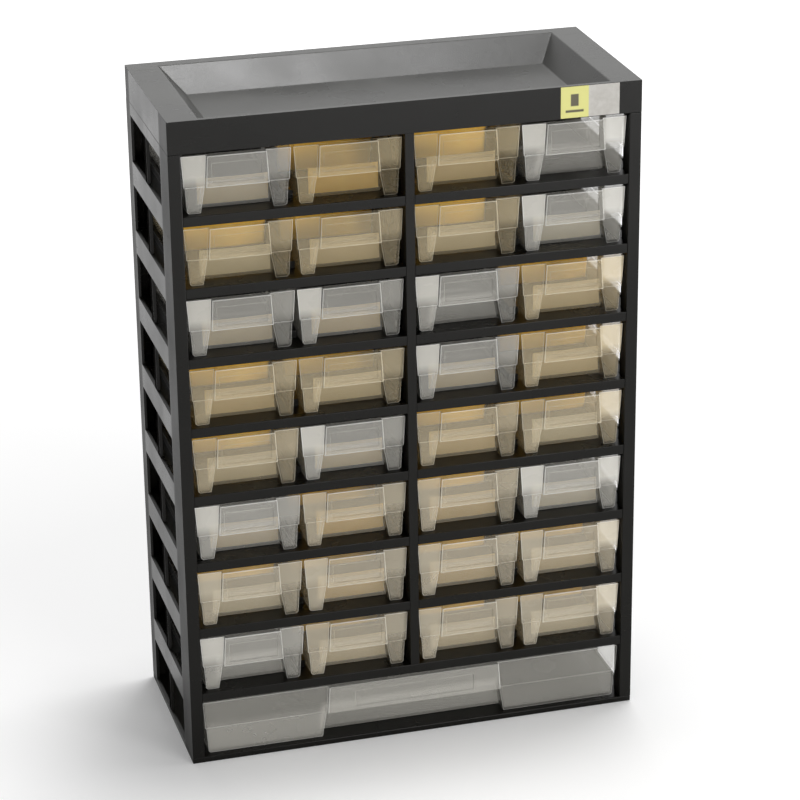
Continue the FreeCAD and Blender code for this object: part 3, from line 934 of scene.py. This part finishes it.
def mark_drawer(mesh, node, hood_half):
    """Mark the hood, the flanges and the scoop, and keep each point's place on the drawer."""
    origin = mould_origin(node)
    kept = mesh.attributes.new(MOULD_PLACE, "FLOAT_VECTOR", "POINT")
    for vertex, spot in zip(mesh.vertices, kept.data):
        spot.vector = (vertex.co - origin) / MILLIMETRE
    marks = {HOOD_MARK: [], FLANGE_MARK: [], SCOOP_MARK: []}
    glow = mesh.attributes[EDGE_MARK]
    for face, edge in zip(mesh.polygons, glow.data):
        across, behind, up = (face.center - origin) / MILLIMETRE
        front = face.normal.y < LOOKS_FRONT
        on_hood = behind < HOOD_FRONT + HOOD_DEPTH
        marks[HOOD_MARK].append(float(front and on_hood))
        marks[FLANGE_MARK].append(float(front and FLANGE_BEFORE < behind < FLANGE_BEHIND))
        marks[SCOOP_MARK].append(float(front and abs(behind - SCOOP_BACK) < SCOOP_DEPTH))
        round_window = on_hood and not (at_outline(across, up, hood_half) or at_rim(up))
        if behind > INSIDE_FROM or round_window:
            edge.value *= INNER_PAINTED_GLOW
    for name, values in marks.items():
        set_mark(mesh, name, values, "FACE")


print("drawer marks ready")

# %% [markdown]
# ## The small drawers
# The master is the top left drawer with its edges rounded. The steps between drawers are
# measured on the frame, so the castings land exactly on the solids that they stand for. The
# drawers are not all alike: some are milkier than others, some get more painted light as haze on
# their flanges, and the lower rows are milkier, which paints the brighter light from the floor.

# %% Say how milky each drawer is
ROWS = 8
COLUMNS = 4
# drawers with a divider, by row and column: those that the frame has, those that are added
DIVIDED = {(1, 2), (1, 3), (2, 1), (2, 2), (2, 3), (3, 4), (4, 1), (4, 2), (4, 4), (5, 1),
           (5, 3), (5, 4)}
ADDED_DIVIDERS = {(6, 2), (6, 3), (7, 1), (7, 2), (7, 3), (7, 4), (8, 2), (8, 3), (8, 4)}
# how milky the drawers of a row are, the lower rows more so as painted light from the floor: those
# with a divider, those without
ROW_MILK_AND_PAINTED_LIGHT = {1: (0.1, 0.8), 2: (0.5, 0.9), 3: (0.8, 0.9), 4: (0.8, 0.9), 5: (1.0, 1.2),
            6: (1.4, 1.6), 7: (1.6, 1.6), 8: (1.6, 1.5)}
WIDE_MILK_AND_PAINTED_LIGHT = 1.6
# painted amber light: how much a divider tints the colour of its drawer's plastic, in each row
ROW_PAINTED_AMBER = {1: 0.8, 2: 0.7, 3: 0.65, 4: 0.65, 5: 0.55, 6: 0.4, 7: 0.35, 8: 0.35}
# painted light, as haze at the top of the left flange: faint in these drawers, full in those without
# a divider, and slight in the others
FAINT_PAINTED_LIGHT_LEFT = {(6, 2): 0.45, (6, 3): 0.45, (7, 1): 0.65, (7, 2): 0.6, (7, 3): 0.5, (7, 4): 0.5,
              (8, 2): 0.4, (8, 3): 0.5, (8, 4): 0.4}
FULL_PAINTED_LIGHT, SLIGHT_PAINTED_LIGHT = 1.0, 0.24
# painted light, as haze at the top of the right flange: in the right column, in the others
OUTER_PAINTED_LIGHT, INNER_PAINTED_LIGHT = 0.9, 0.35
# how much milkier the right wall of the right column is, which hides the white beyond the
# windows, how far from the drawer's right edge it may lie in metres, and how squarely its
# faces look sideways
OUTER_MILK = 4.5
OUTER_DEPTH = 0.008
OUTER_NORMAL = 0.9


def left_painted_light(row, column, divided):
    return FAINT_PAINTED_LIGHT_LEFT.get((row, column), SLIGHT_PAINTED_LIGHT) if divided else FULL_PAINTED_LIGHT


def milk_of_faces(mesh, milk, outer_from):
    """The milkiness of each face. Faces of a wall that lies past outer_from get more."""
    walls = [abs(face.normal.x) > OUTER_NORMAL and face.center.x > outer_from
             for face in mesh.polygons]
    return [milk + OUTER_MILK * wall for wall in walls]


all_divided = DIVIDED | ADDED_DIVIDERS
print(len(all_divided), "of", ROWS * COLUMNS, "drawers have a divider")

# %% Cast the small drawers
# in metres
DRAWER_RADIUS = 0.0009


def steps_to(row, column):
    """Offset of a drawer from the top left one."""
    low, first = (Vector(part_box(name)[0]) for name in (f"drawer_r{row}_c{column}", "drawer_r1_c1"))
    return low - first


drawer_master = rounded("drawer_r1_c1", "drawer_master", DRAWER_RADIUS, milky_plastic,
                        drawer_shares("drawer_r1_c1", SMALL_HOOD_HALF), DRAWER_RATIO)
mark_drawer(drawer_master.data, "drawer_r1_c1", SMALL_HOOD_HALF)
row_pitch = -steps_to(2, 1).z
outer_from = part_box(f"drawer_r1_c{COLUMNS}")[1][0] - OUTER_DEPTH
for row in range(1, ROWS + 1):
    for column in range(1, COLUMNS + 1):
        node = f"drawer_r{row}_c{column}"
        divided = (row, column) in all_divided
        piece = cast(drawer_master.data, node + "_casting", milky_plastic, steps_across=1,
                     pitch_across=steps_to(row, column).x, steps_down=row - 1,
                     pitch_down=row_pitch)
        # painted light on the flanges: a whiter haze where more light falls
        set_even_mark(piece.data, PAINTED_LIGHT_LEFT, left_painted_light(row, column, divided))
        right_painted_light = OUTER_PAINTED_LIGHT if column == COLUMNS else INNER_PAINTED_LIGHT
        set_even_mark(piece.data, PAINTED_LIGHT_RIGHT, right_painted_light)
        # painted amber light from the divider, put into the plastic's colour
        set_even_mark(piece.data, PAINTED_AMBER_MARK, ROW_PAINTED_AMBER[row] * divided)
        # the lower rows' extra milk is painted light for the floor's bounce
        with_divider, without = ROW_MILK_AND_PAINTED_LIGHT[row]
        milk = milk_of_faces(piece.data, with_divider if divided else without, outer_from)
        set_mark(piece.data, MILK_MARK, milk, "FACE")
        seat(piece, node, "drawer_plastic", node)
bpy.data.objects.remove(drawer_master)
print(ROWS * COLUMNS, "small drawers, row pitch", round(row_pitch, 5))

# %% [markdown]
# ## The wide drawer
# The wide drawer is a moulding of its own, across both bays.

# %% Dress the wide drawer
wide = rounded("wide_drawer", "wide_drawer_casting", DRAWER_RADIUS, milky_plastic,
               drawer_shares("wide_drawer", WIDE_HOOD_HALF), DRAWER_RATIO)
mark_drawer(wide.data, "wide_drawer", WIDE_HOOD_HALF)
# its milk, like the lower rows', partly paints the floor's bounce light
set_even_mark(wide.data, MILK_MARK, WIDE_MILK_AND_PAINTED_LIGHT)
seat(wide, "wide_drawer", "drawer_plastic", "wide_drawer")
print(wide.name, len(wide.data.polygons), "faces")

# %% [markdown]
# ## Dividers
# Amber dividers stand across many of the small drawers. They are stamped from one plate, so
# the casting tree sets them like the drawers.

# %% Cast the dividers
# metres, and the depth of colour of a card that is amber all through
DIVIDER_RADIUS = 0.0003
FULL_DEPTH = 1.0


def cast_card(master, name, material, offset, depth):
    """One divider or slip, moved by the offset, with its depth of colour."""
    piece = cast(master, name, material, steps_across=1, pitch_across=offset.x,
                 steps_down=1, pitch_down=-offset.z)
    set_even_mark(piece.data, DEPTH_MARK, depth)
    return piece


divider_master = rounded("divider_r1_c2", "divider_master", DIVIDER_RADIUS, divider_amber)
master_place = steps_to(1, 2)
for row, column in sorted(all_divided):
    node = f"divider_r{row}_c{column}"
    piece = cast_card(divider_master.data, node + "_plate", divider_amber,
                      steps_to(row, column) - master_place, FULL_DEPTH)
    seat(piece, f"drawer_r{row}_c{column}", "divider_card",
         *([node] if (row, column) in DIVIDED else []))
bpy.data.objects.remove(divider_master)
print(len(all_divided), "dividers")

# %% [markdown]
# ## Label slips
# In most drawers a loose label slip has been pushed down behind the finger scoop, where it
# shows as a warm band under the hood. Each has yellowed by its own amount. A slip is thin card
# that bows a little, so it is drawn as a grid of faces. Solidify doubles the grid, but it moves
# the back by corner normals that a new grid lacks before normal_update. So front and back lie in
# one place, and the slip is a bare sheet.

# %% Cast the slips
# how deep each slip's colour is, by row and column of its drawer
SLIPS = {
    (1, 1): 0.3, (2, 1): 0.05, (2, 4): 0.05, (5, 1): 0.1, (5, 4): 0.0, (7, 1): 0.05, (8, 4): 0.1,
    (1, 2): 0.97, (1, 3): 0.4, (2, 2): 0.3, (2, 3): 0.15, (3, 1): 0.32, (3, 2): 0.5, (3, 4): 0.3,
    (4, 1): 0.45, (4, 2): 0.2, (4, 3): 0.36, (4, 4): 0.33, (5, 2): 0.45, (5, 3): 0.5, (6, 1): 0.47,
    (6, 2): 1.0, (6, 3): 0.65, (6, 4): 0.2, (7, 2): 0.82, (7, 3): 0.6, (7, 4): 0.35, (8, 2): 0.2,
    (8, 3): 0.2,
}
# in millimetres: a slip's size, its place behind the scoop's wall, how far its ends bow back,
# and how far each row of its faces leans back
SLIP_WIDTH, SLIP_HEIGHT, SLIP_THICK = 45.0, 16.5, 0.5
SLIP_BEHIND, SLIP_FOOT = 12.7, 1.7
SLIP_BOW = 0.8
SLIP_LEAN = 0.08
SLIP_COLUMNS, SLIP_ROWS = 12, 4


def slip_mesh(node):
    """A thin card, bowed a little, standing behind the scoop of the given drawer."""
    origin = mould_origin(node)
    work = bmesh.new()
    grid = []
    for row in range(SLIP_ROWS + 1):
        up = SLIP_FOOT + SLIP_HEIGHT * row / SLIP_ROWS
        line = []
        for column in range(SLIP_COLUMNS + 1):
            share = 2 * column / SLIP_COLUMNS - 1
            behind = SLIP_BEHIND + SLIP_BOW * share * share + SLIP_LEAN * row
            spot = Vector((SLIP_WIDTH / 2 * share, behind, up))
            line.append(work.verts.new(origin + spot * MILLIMETRE))
        grid.append(line)
    for low_line, high_line in zip(grid, grid[1:]):
        for column in range(SLIP_COLUMNS):
            work.faces.new((low_line[column], low_line[column + 1],
                            high_line[column + 1], high_line[column]))
    bmesh.ops.solidify(work, geom=work.faces[:], thickness=SLIP_THICK * MILLIMETRE)
    bmesh.ops.recalc_face_normals(work, faces=work.faces)
    mesh = bpy.data.meshes.new("slip_master")
    work.to_mesh(mesh)
    work.free()
    return mesh


slip_master = slip_mesh("drawer_r1_c1")
for (row, column), depth in SLIPS.items():
    piece = cast_card(slip_master, f"slip_r{row}_c{column}", slip_card,
                      steps_to(row, column), depth)
    seat(piece, f"drawer_r{row}_c{column}", "divider_card")
print(len(SLIPS), "slips")

# %% [markdown]
# ## Sticker
# A two-part vinyl sticker sits at the right end of the top rail. It is printed plain: a yellow
# field with a dark block over a bar, and a pale field. The print follows the sticker's own
# corner, in millimetres, so it needs no picture.

# %% Make the sticker
STICKER_YELLOW = (0.66, 0.64, 0.20, 1)
STICKER_PALE = (0.42, 0.40, 0.365, 1)
STICKER_WHITE = (0.51, 0.495, 0.46, 1)
STICKER_INK = (0.06, 0.05, 0.012, 1)
# in metres
STICKER_RADIUS = 0.0001
# print on the yellow field, in millimetres from the sticker's lower left corner: the two
# sides of each patch, then its foot and its top
YELLOW_WIDTH = 18.5
PRINT_PATCHES = [(6.6, 11.8, 7.6, 15.4), (3.2, 15.2, 3.6, 5.2)]
PRINT_SOFTNESS = 0.25
CREASES_PER_METRE, CREASE_DETAIL, CREASE_ROUGHNESS = 160, 4, 0.6
CREASE_FROM, CREASE_TO = 0.35, 0.7
CREASE_STRENGTH, CREASE_DEPTH = 0.1, 0.0004
STICKER_GLOSSY, STICKER_DULL = 0.3, 0.42


def sticker_film():
    material, tree, shader = new_finish("sticker_film_printed")
    low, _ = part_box("front_sticker")
    place = add_node(tree, "ShaderNodeTexCoord").outputs["Object"]
    from_corner = add_node(tree, "ShaderNodeVectorMath", {0: place, 1: low},
                           operation="SUBTRACT").outputs[0]
    millimetres = add_node(tree, "ShaderNodeVectorMath",
                           {0: from_corner, "Scale": 1 / MILLIMETRE}, operation="SCALE")
    spot = parts_of(tree, millimetres.outputs[0])
    creases = noise(tree, place, CREASES_PER_METRE, CREASE_DETAIL, CREASE_ROUGHNESS)
    creases = spread(tree, creases, 0, 1, CREASE_FROM, CREASE_TO)
    pale = mixed(tree, creases, STICKER_PALE, STICKER_WHITE)
    half = spread(tree, spot["X"], 0, 1, YELLOW_WIDTH - PRINT_SOFTNESS,
                  YELLOW_WIDTH + PRINT_SOFTNESS)
    colour = mixed(tree, half, STICKER_YELLOW, pale)
    for left_side, right_side, foot, top in PRINT_PATCHES:
        ink = times(tree, inside(tree, spot["X"], left_side, right_side, PRINT_SOFTNESS),
                    inside(tree, spot["Z"], foot, top, PRINT_SOFTNESS))
        colour = mixed(tree, ink, colour, STICKER_INK)
    tree.links.new(colour, shader.inputs["Base Color"])
    rough = spread(tree, creases, STICKER_GLOSSY, STICKER_DULL)
    tree.links.new(rough, shader.inputs["Roughness"])
    set_bump(tree, shader, creases, CREASE_STRENGTH, CREASE_DEPTH)
    return material


sticker = rounded("front_sticker", "front_sticker_film", STICKER_RADIUS, sticker_film())
seat(sticker, "carcass", "sticker_film", "front_sticker")
print("sticker", [round(size, 4) for size in sticker.dimensions])

# %% [markdown]
# ## Studio
# The photo is a plain product shot: a white sweep, a big soft light overhead and a fill from
# the front. The floor and the world are white to the camera, and shiny faces see that too.

# %% Set the lamps
# a lamp's name, where it stands, what it faces and its two sides in metres, its power in watts
LAMPS = [
    ("overhead", (0.35, 0.33, 3.4), (0, 0, 0.4), (0.9, 0.9), 70),
    ("front_fill", (1.0, -2.3, 0.55), (0, 0, 0.1), (1.4, 0.9), 32),
]

for name, place, target, size, power in LAMPS:
    data = bpy.data.lights.new(name, "AREA")
    data.shape = "RECTANGLE"
    data.size, data.size_y = size
    data.energy = power
    lamp = bpy.data.objects.new(name, data)
    bpy.context.collection.objects.link(lamp)
    lamp.location = place
    away = Vector(target) - Vector(place)
    lamp.rotation_euler = away.to_track_quat("-Z", "Y").to_euler()
    print(name, power, "W")

# %% [markdown]
# ## World and floor
# A white background lights dark plastic too much. So the world and the floor shine for the
# camera, for a shiny face and for glass, and far less for all other light. Near the cabinet the
# floor hardly shines, so that it keeps the cabinet's shadow.

# %% Set the world and the floor
WHITE = (1, 1, 1, 1)
WORLD_STRENGTH = 0.3
FLOOR_WHITE = (0.9, 0.9, 0.9, 1)
FLOOR_DULLNESS = 0.9
FLOOR_HALF = 8
# the floor's own light for a camera, a shiny face or glass: near the cabinet and far from it,
# and between which distances from its middle it grows, in metres
FLOOR_LIFT_NEAR, FLOOR_LIFT_FAR = 0.15, 0.6
LIFT_FROM, LIFT_TO = 0.35, 1.6


def seen_plainly(tree):
    """1 for a camera's ray and for what a shiny face or glass shows, 0 for other light."""
    path = add_node(tree, "ShaderNodeLightPath").outputs
    return taken(tree, "MAXIMUM", path["Is Camera Ray"], path["Is Glossy Ray"],
                 path["Is Transmission Ray"])


world = bpy.data.worlds.new("white_room")
world.use_nodes = True
bpy.context.scene.world = world
background = world.node_tree.nodes["Background"]
background.inputs["Color"].default_value = WHITE
strength = spread(world.node_tree, seen_plainly(world.node_tree), WORLD_STRENGTH, 1.0)
world.node_tree.links.new(strength, background.inputs["Strength"])

floor_material, floor_tree, floor_shader = new_finish("white_sweep")
floor_shader.inputs["Base Color"].default_value = FLOOR_WHITE
floor_shader.inputs["Roughness"].default_value = FLOOR_DULLNESS
floor_shader.inputs["Specular IOR Level"].default_value = 0
spot = add_node(floor_tree, "ShaderNodeTexCoord").outputs["Object"]
distance = add_node(floor_tree, "ShaderNodeVectorMath", {0: spot}, operation="LENGTH")
lift = spread(floor_tree, distance.outputs["Value"], FLOOR_LIFT_NEAR, FLOOR_LIFT_FAR,
              LIFT_FROM, LIFT_TO)
glow = times(floor_tree, lift, seen_plainly(floor_tree))
floor_shader.inputs["Emission Color"].default_value = WHITE
floor_tree.links.new(glow, floor_shader.inputs["Emission Strength"])
floor_mesh = bpy.data.meshes.new("floor")
floor_corners = [(-FLOOR_HALF, -FLOOR_HALF, 0), (FLOOR_HALF, -FLOOR_HALF, 0),
                 (FLOOR_HALF, FLOOR_HALF, 0), (-FLOOR_HALF, FLOOR_HALF, 0)]
floor_mesh.from_pydata(floor_corners, [], [(0, 1, 2, 3)])
floor = new_piece("floor", floor_mesh, floor_material)
bpy.context.scene.view_settings.view_transform = "Standard"
print("studio set")
